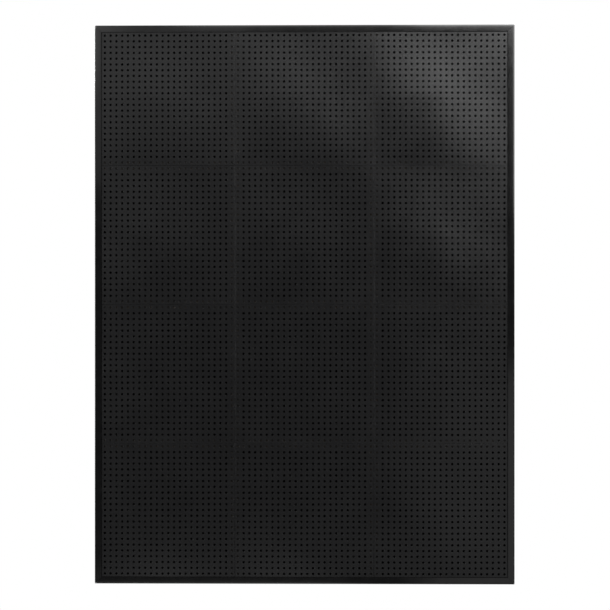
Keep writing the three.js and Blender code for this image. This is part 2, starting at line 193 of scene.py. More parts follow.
class Wiring:
    """Adds nodes to a tree and joins them up, with settings given as plain values."""

    def __init__(self, tree):
        self.tree = tree

    def node(self, kind, inputs=None, **settings):
        node = self.tree.nodes.new(kind)
        for name, value in settings.items():
            setattr(node, name, value)
        for socket, value in (inputs or {}).items():
            self.feed(node.inputs[socket], value)
        return node

    def feed(self, socket, value):
        if isinstance(value, bpy.types.NodeSocket):
            self.tree.links.new(value, socket)
        else:
            socket.default_value = value

    def maths(self, operation, *values, clamp=False):
        node = self.node("ShaderNodeMath", operation=operation, use_clamp=clamp)
        for socket, value in zip(node.inputs, values):
            self.feed(socket, value)
        return node.outputs[0]

    def blend(self, mask, first, second):
        node = self.node("ShaderNodeMix", data_type="RGBA")
        self.feed(node.inputs["Factor"], mask)
        colour_sockets = [socket for socket in node.inputs if socket.type == "RGBA"]
        self.feed(colour_sockets[0], first)
        self.feed(colour_sockets[1], second)
        return next(socket for socket in node.outputs if socket.type == "RGBA")

    def place(self):
        """The place on the piece, in its own metres."""
        return self.node("ShaderNodeTexCoord").outputs["Object"]

    def scaled(self, vector, factors):
        inputs = {0: vector, 1: factors}
        return self.node("ShaderNodeVectorMath", inputs, operation="MULTIPLY").outputs[0]

    def noise(self, vector, scale, detail, distortion=0.0):
        inputs = {"Vector": vector, "Scale": scale, "Detail": detail, "Distortion": distortion}
        return self.node("ShaderNodeTexNoise", inputs).outputs[0]

    def span(self, value, low, high, new_low, new_high):
        inputs = {"Value": value, "From Min": low, "From Max": high, "To Min": new_low, "To Max": new_high}
        return self.node("ShaderNodeMapRange", inputs).outputs["Result"]


def opaque(rgb):
    return (*rgb, 1.0)


def new_group(name, inputs, outputs):
    """An empty node group with named sockets: (name, socket type, default) and (name, type)."""
    group = bpy.data.node_groups.new(name, "ShaderNodeTree")
    for socket_name, kind, default in inputs:
        socket = group.interface.new_socket(socket_name, in_out="INPUT", socket_type=kind)
        socket.default_value = default
    for socket_name, kind in outputs:
        group.interface.new_socket(socket_name, in_out="OUTPUT", socket_type=kind)
    wiring = Wiring(group)
    return wiring, wiring.node("NodeGroupInput"), wiring.node("NodeGroupOutput")


def pebble_grain_group():
    """Small bumps of pressed or coated surfaces, with roughness that varies with them."""
    wiring, given, result = new_group(
        "pebble_grain",
        [
            ("Scale", "NodeSocketFloat", 900.0),
            ("Stretch", "NodeSocketVector", (1.0, 1.0, 1.0)),
            ("Roughness", "NodeSocketFloat", 0.4),
            ("Spread", "NodeSocketFloat", 0.08),
        ],
        [("Height", "NodeSocketFloat"), ("Roughness", "NodeSocketFloat")],
    )
    place = wiring.place()
    fine = wiring.noise(wiring.scaled(place, given.outputs["Stretch"]), given.outputs["Scale"], 3.0)
    bumps_in_a_patch = 50.0
    broad_scale = wiring.maths("DIVIDE", given.outputs["Scale"], bumps_in_a_patch)
    varied = wiring.span(wiring.noise(place, broad_scale, 4.0), 0.3, 0.7, -1.0, 1.0)
    offset = wiring.maths("MULTIPLY", varied, given.outputs["Spread"])
    roughness = wiring.maths("ADD", given.outputs["Roughness"], offset, clamp=True)
    wiring.feed(result.inputs["Height"], fine)
    wiring.feed(result.inputs["Roughness"], roughness)
    return wiring.tree


def edge_wear_group():
    """Mask of rubbed outer edges, broken up so that the wear isn't even."""
    wiring, given, result = new_group(
        "edge_wear",
        [
            ("Amount", "NodeSocketFloat", 0.5),
            ("Breakup", "NodeSocketFloat", 60.0),
        ],
        [("Mask", "NodeSocketFloat")],
    )
    sharpness = wiring.node("ShaderNodeNewGeometry").outputs["Pointiness"]
    edges = wiring.span(sharpness, 0.52, 0.62, 0.0, 1.0)
    noise = wiring.noise(wiring.place(), given.outputs["Breakup"], 6.0)
    patches = wiring.span(noise, 0.45, 0.7, 0.0, 1.0)
    broken = wiring.maths("MULTIPLY", edges, patches)
    mask = wiring.maths("MULTIPLY", broken, given.outputs["Amount"], clamp=True)
    wiring.feed(result.inputs["Mask"], mask)
    return wiring.tree


def settled_dust_group():
    """Mask of dust on surfaces that look up, with a thin even film on the rest."""
    wiring, given, result = new_group(
        "settled_dust",
        [
            ("Amount", "NodeSocketFloat", 0.3),
            ("Film", "NodeSocketFloat", 0.01),
            ("Scale", "NodeSocketFloat", 35.0),
        ],
        [("Mask", "NodeSocketFloat")],
    )
    normal = wiring.node("ShaderNodeNewGeometry").outputs["Normal"]
    upward = wiring.node("ShaderNodeSeparateXYZ", {0: normal}).outputs["Z"]
    shelf = wiring.span(upward, 0.5, 1.0, 0.0, 1.0)
    noise = wiring.noise(wiring.place(), given.outputs["Scale"], 6.0)
    clumps = wiring.span(noise, 0.3, 0.75, 0.25, 1.0)
    heavy = wiring.maths("MULTIPLY", wiring.maths("MULTIPLY", shelf, clumps), given.outputs["Amount"])
    light = wiring.maths("MULTIPLY", clumps, given.outputs["Film"])
    mask = wiring.maths("ADD", heavy, light, clamp=True)
    wiring.feed(result.inputs["Mask"], mask)
    return wiring.tree


def wood_grain_group():
    """Long dark and light bands of sawn softwood, running along one axis of the board."""
    wiring, given, result = new_group(
        "wood_grain",
        [
            ("Squeeze", "NodeSocketVector", (1.0, 1.0, 0.06)),
            ("Scale", "NodeSocketFloat", 240.0),
            ("Early Wood", "NodeSocketColor", (0.03, 0.025, 0.02, 1.0)),
            ("Late Wood", "NodeSocketColor", (0.012, 0.01, 0.008, 1.0)),
        ],
        [("Color", "NodeSocketColor"), ("Height", "NodeSocketFloat")],
    )
    squeezed = wiring.scaled(wiring.place(), given.outputs["Squeeze"])
    noise = wiring.noise(squeezed, given.outputs["Scale"], 5.0, distortion=0.4)
    bands = wiring.span(noise, 0.35, 0.65, 0.0, 1.0)
    colour = wiring.blend(bands, given.outputs["Early Wood"], given.outputs["Late Wood"])
    wiring.feed(result.inputs["Color"], colour)
    wiring.feed(result.inputs["Height"], noise)
    return wiring.tree


# ---- Finishes ----------------------------------------------------------------------------


def place_group(wiring, maker, inputs):
    """A node for the group that a maker builds, which is built the first time that it is used."""
    name = maker.__name__.removesuffix("_group")
    group = bpy.data.node_groups.get(name) or maker()
    return wiring.node("ShaderNodeGroup", inputs, node_tree=group)


def start_material(name):
    material = bpy.data.materials.new(name)
    material.use_nodes = True
    material.node_tree.nodes.clear()
    wiring = Wiring(material.node_tree)
    surface = wiring.node("ShaderNodeBsdfPrincipled")
    wiring.node("ShaderNodeOutputMaterial", {"Surface": surface.outputs[0]})
    return material, wiring, surface


def finish(
    name, base, worn, roughness, spread, grain, depth, wear, dust, metallic=0.0, gloss=0.5, stretch=(1, 1, 1)
):
    """A material with grain in its relief, painted shade in the relief's hollows, worn edges and dust, from
    its own values.

    grain is the number of bumps in a metre, and depth is how far they stand out in metres.
    """
    material, wiring, surface = start_material(name)
    pebbles = place_group(
        wiring,
        pebble_grain_group,
        {"Scale": grain, "Stretch": stretch, "Roughness": roughness, "Spread": spread},
    )
    film_share = 0.02
    hollow_shade = 0.8
    rubbed = place_group(wiring, edge_wear_group, {"Amount": wear})
    dusty = place_group(wiring, settled_dust_group, {"Amount": dust, "Film": dust * film_share})
    # Painted shade: the base colour is darker in the hollows of the grain's relief
    hollow_shade_mask = wiring.span(pebbles.outputs["Height"], 0.3, 0.7, 0.0, 1.0)
    hollow_shaded_base = opaque([value * hollow_shade for value in base])
    ground = wiring.blend(hollow_shade_mask, hollow_shaded_base, opaque(base))
    coat = wiring.blend(rubbed.outputs["Mask"], ground, opaque(worn))
    topped = wiring.blend(dusty.outputs["Mask"], coat, opaque(colours().dust))
    bump = wiring.node(
        "ShaderNodeBump", {"Height": pebbles.outputs["Height"], "Distance": depth, "Strength": 1.0}
    )
    wiring.feed(surface.inputs["Base Color"], topped)
    wiring.feed(surface.inputs["Roughness"], pebbles.outputs["Roughness"])
    surface.inputs["Metallic"].default_value = metallic
    surface.inputs["Specular IOR Level"].default_value = gloss
    wiring.feed(surface.inputs["Normal"], bump.outputs[0])
    return material


def painted_hardboard():
    return finish(
        "painted_hardboard",
        base=colours().tile_paint,
        worn=(0.05, 0.04, 0.03),
        roughness=0.25,
        spread=0.02,
        grain=700.0,
        depth=0.00007,
        wear=0.05,
        dust=0.04,
    )


def satin_frame_coat():
    return finish(
        "satin_frame_coat",
        base=colours().frame_coat,
        worn=(0.12, 0.12, 0.125),
        roughness=0.13,
        spread=0.015,
        grain=1800.0,
        depth=0.0000018,
        wear=0.05,
        dust=0.05,
        gloss=0.7,
    )


def stained_batten(name, squeeze):
    """Sawn softwood under a dark stain, its grain along the axis that squeeze shortens."""
    material, wiring, surface = start_material(name)
    stain = colours().batten_stain
    early_shade = 1.5
    late_shade = 0.45
    bare_wood = (0.16, 0.11, 0.07)
    pore_share = 0.2
    grain = place_group(
        wiring,
        wood_grain_group,
        {
            "Squeeze": squeeze,
            "Early Wood": opaque([value * early_shade for value in stain]),
            "Late Wood": opaque([value * late_shade for value in stain]),
        },
    )
    rubbed = place_group(wiring, edge_wear_group, {"Amount": 0.25})
    dusty = place_group(wiring, settled_dust_group, {"Amount": 0.3, "Film": 0.005})
    pores = place_group(wiring, pebble_grain_group, {"Scale": 1500.0, "Roughness": 0.68, "Spread": 0.08})
    coat = wiring.blend(rubbed.outputs["Mask"], grain.outputs["Color"], opaque(bare_wood))
    topped = wiring.blend(dusty.outputs["Mask"], coat, opaque(colours().dust))
    fine_relief = wiring.maths("MULTIPLY", pores.outputs["Height"], pore_share)
    relief = wiring.maths("ADD", grain.outputs["Height"], fine_relief)
    bump = wiring.node("ShaderNodeBump", {"Height": relief, "Distance": 0.0003, "Strength": 0.8})
    wiring.feed(surface.inputs["Base Color"], topped)
    wiring.feed(surface.inputs["Roughness"], pores.outputs["Roughness"])
    wiring.feed(surface.inputs["Normal"], bump.outputs[0])
    return material


# Painted shade: a near-black card behind the battens, seen through the peg holes in place of the shade
# inside them
def hole_shade_card():
    return finish(
        "hole_shade_card",
        base=colours().backing_card,
        worn=(0.03, 0.03, 0.03),
        roughness=0.85,
        spread=0.05,
        grain=1200.0,
        depth=0.00003,
        wear=0.3,
        dust=0.2,
    )


def zinc_plate():
    return finish(
        "zinc_plate",
        base=colours().zinc,
        worn=(0.42, 0.41, 0.40),
        roughness=0.28,
        spread=0.07,
        grain=2500.0,
        depth=0.000006,
        wear=0.5,
        dust=0.1,
        metallic=1.0,
        stretch=(1.0, 1.0, 0.25),
    )


def black_oxide_steel():
    return finish(
        "black_oxide_steel",
        base=colours().black_oxide,
        worn=(0.30, 0.29, 0.28),
        roughness=0.38,
        spread=0.08,
        grain=2500.0,
        depth=0.000005,
        wear=0.6,
        dust=0.1,
        metallic=0.85,
    )


def bumper_rubber():
    return finish(
        "bumper_rubber",
        base=colours().rubber,
        worn=(0.06, 0.06, 0.06),
        roughness=0.75,
        spread=0.06,
        grain=3000.0,
        depth=0.00001,
        wear=0.5,
        dust=0.3,
    )


def shared_material(maker):
    """The material that a maker builds, built the first time that it is asked for."""
    return bpy.data.materials.get(maker.__name__) or maker()


# ---- Mesh helpers ------------------------------------------------------------------------


def nodes_named(start):
    return sorted(name for name in frame["nodes"] if name.startswith(start))


def new_object(name, mesh, material):
    piece = bpy.data.objects.new(name, mesh)
    bpy.context.scene.collection.objects.link(piece)
    mesh.materials.append(material)
    return piece


def settle(piece, slot_name, body, *nodes):
    """Puts a piece under the empty named for its body and hides the solids that it stands for."""
    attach(piece, body)
    if nodes:
        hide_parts(*nodes)


def mesh_from(points, faces):
    mesh = bpy.data.meshes.new("piece")
    mesh.from_pydata([tuple(point) for point in points], [], [tuple(face) for face in faces])
    mesh.validate()
    return mesh


def outward(mesh):
    """Turns every face of a closed mesh to point out of it."""
    work = bmesh.new()
    work.from_mesh(mesh)
    bmesh.ops.recalc_face_normals(work, faces=work.faces)
    work.to_mesh(mesh)
    work.free()
    return mesh


def smooth_by_angle(mesh, degrees):
    mesh.shade_smooth()
    mesh.set_sharp_from_angle(angle=math.radians(degrees))


def apply_modifiers(piece):
    """Gives the piece the mesh that its modifiers make."""
    depsgraph = bpy.context.evaluated_depsgraph_get()
    finished = bpy.data.meshes.new_from_object(piece.evaluated_get(depsgraph))
    old = piece.data
    piece.modifiers.clear()
    piece.data = finished
    bpy.data.meshes.remove(old)


def soften_edges(piece, width, degrees=30):
    """Bevels the edges of a piece that turn by more than an angle."""
    bevel = piece.modifiers.new("soft_edges", "BEVEL")
    bevel.width = width
    bevel.segments = 2
    bevel.limit_method = "ANGLE"
    bevel.angle_limit = math.radians(degrees)
    bevel.use_clamp_overlap = True
    apply_modifiers(piece)


def cut_away(piece, cutters):
    """Takes each cutting mesh out of a piece."""
    for cutter in cutters:
        tool = bpy.data.objects.new("cutter", cutter)
        bpy.context.scene.collection.objects.link(tool)
        cut = piece.modifiers.new("cut", "BOOLEAN")
        cut.operation = "DIFFERENCE"
        cut.solver = "EXACT"
        cut.object = tool
        bpy.context.view_layer.update()
        apply_modifiers(piece)
        bpy.data.objects.remove(tool)
        bpy.data.meshes.remove(cutter)


def arc(centre, radius, start, end, steps):
    """Points on an arc in a plane, with angles in degrees."""
    points = []
    for step in range(steps + 1):
        angle = math.radians(start + (end - start) * step / steps)
        points.append((centre[0] + radius * math.cos(angle), centre[1] + radius * math.sin(angle)))
    return points


def joined_loops(loops, count, closed=False):
    """Faces that join each loop of points to the next one, and the last to the first if closed."""
    faces = []
    for loop in range(loops if closed else loops - 1):
        near = loop * count
        far = (loop + 1) % loops * count
        for step in range(count):
            following = (step + 1) % count
            faces.append((near + step, near + following, far + following, far + step))
    return faces


def capped_solid(points, count):
    """A solid through loops of points, each with the same count, with its two ends closed."""
    faces = joined_loops(len(points) // count, count)
    faces.append(tuple(reversed(range(count))))
    faces.append(tuple(range(len(points) - count, len(points))))
    return mesh_from(points, faces)


def turned(profile, steps=32):
    """(radius, height) pairs turned about +Z, closed at both ends."""
    points = []
    for radius, height in profile:
        for step in range(steps):
            angle = 2 * math.pi * step / steps
            points.append((radius * math.cos(angle), radius * math.sin(angle), height))
    return capped_solid(points, steps)


def prism(outline, low, high):
    """A straight solid with an outline of (x, y) points, from one height to another along +Z."""
    points = [(x, y, height) for height in (low, high) for x, y in outline]
    return capped_solid(points, len(outline))


def box_mesh(low, high):
    outline = [(low[0], low[1]), (high[0], low[1]), (high[0], high[1]), (low[0], high[1])]
    return prism(outline, low[2], high[2])


def axes(across, back, along):
    """A turn that takes a piece's own X, Y and Z to these directions."""
    return Matrix((across, back, along)).transposed().to_4x4()


def node_middle(node):
    low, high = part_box(node)
    return (low + high) / 2


def backwards_from(place):
    """The placing of a piece made along +Z that runs back from a place."""
    return Matrix.Translation(place) @ axes((1, 0, 0), (0, 0, -1), (0, 1, 0))


def facing_back(node):
    """The placing of a piece made along +Z that runs back from the front of its solid."""
    centre = node_middle(node)
    return backwards_from((centre.x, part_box(node)[0].y, centre.z))


def bore_at(node, radius, reach):
    """A cutter for a round hole from front to back, on the axis of a node."""
    cutter = turned([(radius, -reach), (radius, reach)], 24)
    cutter.transform(backwards_from(node_middle(node)))
    return outward(cutter)


# ---- Tiles -------------------------------------------------------------------------------


def crown(across, up, rise, twist, crease):
    """How far a tile stands proud at places from -1 to 1 across and up it.

    The rise is highest in the middle, falls to nothing at the edges and is creased along the
    two middle lines. The twist turns the middle to face up and to the right, and the parts near
    the edges back again, so the four quarters lean differently.
    """

    def fall(place):
        eased = np.sqrt(place**2 + crease**2) - crease
        return np.clip(1 - eased / (1 - crease), 0, 1)

    def swell(place):
        return place * np.clip(1 - place**2, 0, 1)

    turn = swell(across) * fall(up) + swell(up) * fall(across)
    return rise * fall(across) * fall(up) - twist * turn


def perforated_tile(low, high, rise, lean):
    """The points, faces and smooth-face count of a plate with a grid of softened round holes."""
    settings = sizes()
    sides = settings.hole_sides
    per_side = sides // 4
    width = high.x - low.x
    cells = round(width / settings.hole_pitch)
    rows = round((high.z - low.z) / settings.hole_pitch)
    half = settings.hole_pitch / 2
    thickness = high.y - low.y
    edge = settings.tile_edge_round
    rim = settings.rim_round
    radius = settings.hole_diameter / 2

    # Places along a cell's side where lines from its middle to the hole's corners meet it
    offsets = half * np.tan(np.linspace(-math.pi / 4, math.pi / 4, per_side + 1))[:-1]
    line_x = (np.arange(cells)[:, None] * 2 * half + half + offsets).ravel()
    line_z = (np.arange(rows)[:, None] * 2 * half + half + offsets).ravel()
    line_x = low.x + np.append(line_x, cells * 2 * half)
    line_z = low.z + np.append(line_z, rows * 2 * half)
    count_x, count_z = len(line_x), len(line_z)
    on_line = (np.arange(count_x)[:, None] % per_side == 0) | (np.arange(count_z)[None, :] % per_side == 0)
    index = np.full((count_x, count_z), -1)
    index[on_line] = np.arange(on_line.sum())
    i, j = np.nonzero(on_line)
    grid_x = np.clip(line_x[i], low.x + edge, high.x - edge)
    grid_z = np.clip(line_z[j], low.z + edge, high.z - edge)
    grid_count = len(i)
    front = np.stack([grid_x, np.full(grid_count, low.y), grid_z], 1)
    back = np.stack([grid_x, np.full(grid_count, high.y), grid_z], 1)

    # Rings round each hole: radius and depth, from the front face to the back face
    profile = [
        (radius + rim, 0.0),
        (radius + rim * 0.3, rim * 0.3),
        (radius, rim),
        (radius, thickness - rim),
        (radius + rim, thickness),
    ]
    angles = 2 * math.pi * np.arange(sides) / sides
    middle_x = low.x + half + np.arange(cells) * 2 * half
    middle_z = low.z + half + np.arange(rows) * 2 * half
    hole_x, hole_z = np.meshgrid(middle_x, middle_z, indexing="ij")
    holes = cells * rows
    rings = []
    for ring_radius, depth in profile:
        ring_x = hole_x.reshape(-1, 1) + ring_radius * np.cos(angles)
        ring_z = hole_z.reshape(-1, 1) + ring_radius * np.sin(angles)
        rings.append(np.stack([ring_x, np.full_like(ring_x, low.y + depth), ring_z], 2))
    ring_points = np.stack(rings, 1).reshape(-1, 3)
    ring_start = 2 * grid_count
    base = ring_start + np.arange(holes)[:, None] * len(profile) * sides
    around = np.arange(sides)[None, :]
    following = (np.arange(sides)[None, :] + 1) % sides

    def ring(number):
        start = base + number * sides
        return start + around, start + following

    # The cell's corner and side points in step with the hole's corners, from +X round to +Z
    quarter = per_side // 2
    walk_i = [per_side] * quarter + list(range(per_side, 0, -1)) + [0] * per_side
    walk_i += list(range(0, per_side)) + [per_side] * quarter
    walk_j = list(range(quarter, per_side)) + [per_side] * per_side
    walk_j += list(range(per_side, 0, -1)) + [0] * per_side + list(range(0, quarter))
    cell_i, cell_j = np.meshgrid(np.arange(cells), np.arange(rows), indexing="ij")
    outer = index[
        cell_i.reshape(-1, 1) * per_side + np.array(walk_i)[None, :],
        cell_j.reshape(-1, 1) * per_side + np.array(walk_j)[None, :],
    ]
    outer_next = np.roll(outer, -1, axis=1)

    def quads(*corners):
        return np.stack(corners, -1).reshape(-1, 4)

    inner, inner_next = ring(0)
    flat = [quads(inner, outer, outer_next, inner_next)]
    inner, inner_next = ring(len(profile) - 1)
    flat.append(quads(inner_next, outer_next + grid_count, outer + grid_count, inner))
    curved = []
    for number in range(len(profile) - 1):
        near, near_next = ring(number)
        far, far_next = ring(number + 1)
        curved.append(quads(near, near_next, far_next, far))

    # The outside edge of the plate: softened at the front, square to the back
    last_x, last_z = count_x - 1, count_z - 1
    path = [(k, 0) for k in range(last_x)] + [(last_x, k) for k in range(last_z)]
    path += [(k, last_z) for k in range(last_x, 0, -1)] + [(0, k) for k in range(last_z, 0, -1)]
    path_i, path_j = np.array(path).T
    rim_front = index[path_i, path_j]
    round_points = []
    # Inset and depth as shares of the edge's round, with depths below zero taken from the back
    levels = [(0.3, 0.3), (0.0, 1.0), (0.0, -0.4), (0.4, 0.0)]
    for inset, depth in levels:
        x = np.clip(line_x[path_i], low.x + inset * edge, high.x - inset * edge)
        z = np.clip(line_z[path_j], low.z + inset * edge, high.z - inset * edge)
        y = low.y + depth * edge if depth > 0 else high.y + depth * edge
        round_points.append(np.stack([x, np.full(len(path), y), z], 1))
    edge_start = ring_start + len(ring_points)
    loops = [rim_front]
    for number in range(len(levels)):
        loops.append(edge_start + number * len(path) + np.arange(len(path)))
    loops.append(rim_front + grid_count)
    for near, far in zip(loops[:-1], loops[1:]):
        curved.append(quads(near, far, np.roll(far, -1), np.roll(near, -1)))

    points = np.concatenate([front, back, ring_points, *round_points])
    middle = (low + high) / 2
    across = (points[:, 0] - middle.x) / (width / 2)
    up = (points[:, 2] - middle.z) / ((high.z - low.z) / 2)
    crease = settings.crown_crease / (width / 2)
    points[:, 1] -= crown(across - lean[0], up - lean[1], rise, settings.crown_twist, crease)
    flat_faces = np.concatenate(flat)
    faces = np.concatenate([flat_faces, *curved])
    return points, faces, len(flat_faces)


def grid_mesh(points, faces, flat_count):
    """A mesh of four-sided faces, the first of them flat and the rest smooth."""
    mesh = bpy.data.meshes.new("perforated_tile")
    mesh.vertices.add(len(points))
    mesh.vertices.foreach_set("co", points.astype(np.float32).ravel())
    mesh.loops.add(faces.size)
    mesh.loops.foreach_set("vertex_index", faces.astype(np.int32).ravel())
    mesh.polygons.add(len(faces))
    mesh.polygons.foreach_set("loop_start", np.arange(0, faces.size, 4, dtype=np.int32))
    smooth = np.ones(len(faces), dtype=bool)
    smooth[:flat_count] = False
    mesh.update(calc_edges=True)
    mesh.polygons.foreach_set("use_smooth", smooth)
    mesh.validate()
    return mesh


class PEGBOARD_OT_tiles(bpy.types.Operator):
    """Add the perforated tiles, each with its softened holes and shallow crown"""

    bl_idname = "pegboard.add_tiles"
    bl_label = "Tiles"

    def execute(self, context):
        seed = 12
        least_rise = 0.9
        drift = 0.01
        draw = random.Random(seed)
        material = shared_material(painted_hardboard)
        for name in nodes_named("tile_row_"):
            low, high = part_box(name)
            rise = sizes().crown_rise * draw.uniform(least_rise, 1.0)
            lean = (draw.uniform(-drift, drift), draw.uniform(-drift, drift))
            mesh = grid_mesh(*perforated_tile(low, high, rise, lean))
            piece = new_object(f"perforated_{name}", mesh, material)
            settle(piece, "tile", "board", name)
        return {"FINISHED"}


class PEGBOARD_OT_backing(bpy.types.Operator):
    """Add a dark card behind each bay between the battens, a painted shade that keeps the peg holes black"""

    bl_idname = "pegboard.add_backing"
    bl_label = "Backing"

    def execute(self, context):
        material = shared_material(hole_shade_card)
        uprights = [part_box(name) for name in nodes_named("upright_batten_")]
        crosses = [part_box(name) for name in nodes_named("cross_batten_")]
        overlap = 0.0004
        set_in = 0.0016
        softening = 0.0002
        edges_x = [crosses[0][0].x]
        edges_x += [value for low, high in uprights for value in (low.x, high.x)]
        edges_x.append(crosses[0][1].x)
        edges_z = [uprights[0][1].z]
        edges_z += [value for low, high in crosses for value in (high.z, low.z)]
        edges_z.append(uprights[0][0].z)
        back = uprights[0][1].y - set_in
        front = back - sizes().backing_thickness
        for row in range(len(edges_z) // 2):
            for column in range(len(edges_x) // 2):
                low = (edges_x[2 * column] - overlap, front, edges_z[2 * row + 1] - overlap)
                high = (edges_x[2 * column + 1] + overlap, back, edges_z[2 * row] + overlap)
                name = f"backing_card_row_{row + 1}_column_{column + 1}"
                piece = new_object(name, box_mesh(low, high), material)
                soften_edges(piece, softening)
                settle(piece, "batten", "board")
        return {"FINISHED"}


# ---- Frame -------------------------------------------------------------------------------


def rail_measures():
    """The rail's section read from the solids: lip, groove, web and channel."""
    settings = sizes()
    rail_low, rail_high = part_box("frame_rail_left")
    tile_low, tile_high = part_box("tile_row_1_column_1")
    batten_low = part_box("cross_batten_1")[0]
    fit = batten_low.y - tile_high.y
    return {
        "depth": rail_high.y - rail_low.y,
        "lip": tile_low.y - rail_low.y - fit,
        "lip_width": rail_high.x - rail_low.x,
        "web_front": batten_low.y - rail_low.y,
        "reach": batten_low.x - rail_low.x - fit,
        "wall": settings.wall_thickness,
        "web": settings.web_thickness,
        "fit": fit,
    }


def face_arch(near, far, fall):
    """Points across the lip's face, from its outer edge up to a crest and down to its inner edge."""
    crest = near + (far - near) * sizes().crest_place
    steps = 14
    points = []
    for step in range(1, steps):
        place = near + (far - near) * step / steps
        reach = crest - near if place < crest else far - crest
        points.append((place, fall * ((place - crest) / reach) ** 2))
    return points


def rail_section():
    """The extrusion's outline: distance in from the outer face, and depth behind the lip."""
    settings = sizes()
    rail = rail_measures()
    wall, web, depth, reach = rail["wall"], rail["web"], rail["depth"], rail["reach"]
    far = reach - web
    middle = (wall + far) / 2
    slot_low = middle - settings.channel_slot / 2
    slot_high = middle + settings.channel_slot / 2
    outer = settings.outer_round
    bevel_start = rail["lip_width"] - settings.lip_bevel
    arris = 0.0003
    section = arc((outer, outer + settings.face_fall), outer, 180, 270, 8)
    section += face_arch(outer, bevel_start, settings.face_fall)
    section += [
        (bevel_start, settings.face_fall),
        (bevel_start + arris, settings.face_fall + arris),
        (rail["lip_width"] - arris / 2, rail["lip"] - arris),
        (rail["lip_width"], rail["lip"]),
        (wall, rail["lip"]),
        (wall, rail["web_front"]),
        (reach, rail["web_front"]),
        (reach, depth - arris),
        (reach - arris, depth),
        (slot_high + arris, depth),
        (slot_high, depth - arris),
        (slot_high, depth - web),
        (far, depth - web),
        (far, rail["web_front"] + web),
        (wall, rail["web_front"] + web),
        (wall, depth - web),
        (slot_low, depth - web),
        (slot_low, depth - arris),
        (slot_low - arris, depth),
        (arris, depth),
        (0.0, depth - arris),
    ]
    return section


def side_axes(side):
    """The corner that a side starts from and its own axes: in, back and along."""
    x, z, inwards = {
        "left": (cad_low.x, cad_low.z, Vector((1, 0, 0))),
        "top": (cad_low.x, cad_high.z, Vector((0, 0, -1))),
        "right": (cad_high.x, cad_high.z, Vector((-1, 0, 0))),
        "bottom": (cad_high.x, cad_low.z, Vector((0, 0, 1))),
    }[side]
    start = Vector((x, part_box(f"frame_rail_{side}")[0].y, z))
    back = Vector((0, 1, 0))
    return start, inwards, back, inwards.cross(back)


def mitred_rail(side):
    """One rail in place, with both ends cut at 45 degrees."""
    start, inwards, back, along = side_axes(side)
    span = (cad_high - cad_low).dot(Vector([abs(value) for value in along]))
    set_back = sizes().mitre_gap / math.sqrt(2)
    points = []
    for at_end in (False, True):
        for across, depth in rail_section():
            mitre = across + set_back
            distance = span - mitre if at_end else mitre
            points.append(start + inwards * across + back * depth + along * distance)
    return capped_solid(points, len(points) // 2)


def from_outer_face(node):
    """The placing of a piece made along +Z that runs in from the frame's outer face."""
    side = node.split("_")[2]
    start, inwards, back, along = side_axes(side)
    centre = node_middle(node)
    place = centre - inwards * (centre - start).dot(inwards)
    return Matrix.Translation(place) @ axes(back, along, inwards)


def countersink(node):
    """A cutter in place for a frame screw: a clearance bore that widens to the outer face."""
    rail = rail_measures()
    low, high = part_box(node)
    clearance = 0.0003
    head = (high.y - low.y) / 2 + clearance
    shank = 0.0021
    past = 0.001
    slope = (head - shank) / rail["wall"]
    profile = [(head + slope * past, -past), (shank, rail["wall"]), (shank, rail["reach"] + past)]
    cutter = turned(profile, 32)
    cutter.transform(from_outer_face(node))
    return outward(cutter)


class PEGBOARD_OT_frame(bpy.types.Operator):
    """Add the four mitred rails with their bevelled lips and slotted backs"""

    bl_idname = "pegboard.add_frame"
    bl_label = "Frame rails"

    def execute(self, context):
        material = shared_material(satin_frame_coat)
        for side in SIDES:
            node = f"frame_rail_{side}"
            piece = new_object(f"mitred_rail_{side}", outward(mitred_rail(side)), material)
            cut_away(piece, [countersink(name) for name in nodes_named(f"frame_screw_{side}_")])
            smooth_by_angle(piece.data, 28)
            settle(piece, "frame", "board", node)
        return {"FINISHED"}


# ---- Corner keys and screws --------------------------------------------------------------


def cross_recess(width, depth, placing):
    """Two crossed tapering blades that cut a cross recess down from a head's top at Z = 0."""
    blades = []
    overshoot = 0.3
    flare = 1.1
    for turned_across in (False, True):
        half_long, half_thin = width / 2, width / 9
        top = [(-half_long, -half_thin), (half_long, -half_thin)]
        top += [(half_long, half_thin), (-half_long, half_thin)]
        points = [(x * flare, y * flare, depth * overshoot) for x, y in top]
        points += [(x * 0.35, y * 0.8, -depth) for x, y in top]
        if turned_across:
            points = [(-y, x, z) for x, y, z in points]
        blade = capped_solid(points, len(top))
        blade.transform(placing)
        blades.append(outward(blade))
    return blades


def hexagon(across_flats):
    radius = across_flats / math.sqrt(3)
    return [(radius * math.cos(math.pi * k / 3), radius * math.sin(math.pi * k / 3)) for k in range(6)]


def threaded_profile(radius, low, high, pitch, depth):
    """Ring profile of a rod with thread-like ridges from one height to another."""
    turns = max(1, int((high - low) / pitch))
    step = (high - low) / turns
    profile = []
    for turn in range(turns):
        profile.append((radius - depth, low + turn * step))
        profile.append((radius, low + (turn + 0.5) * step))
    profile.append((radius - depth, high))
    return profile


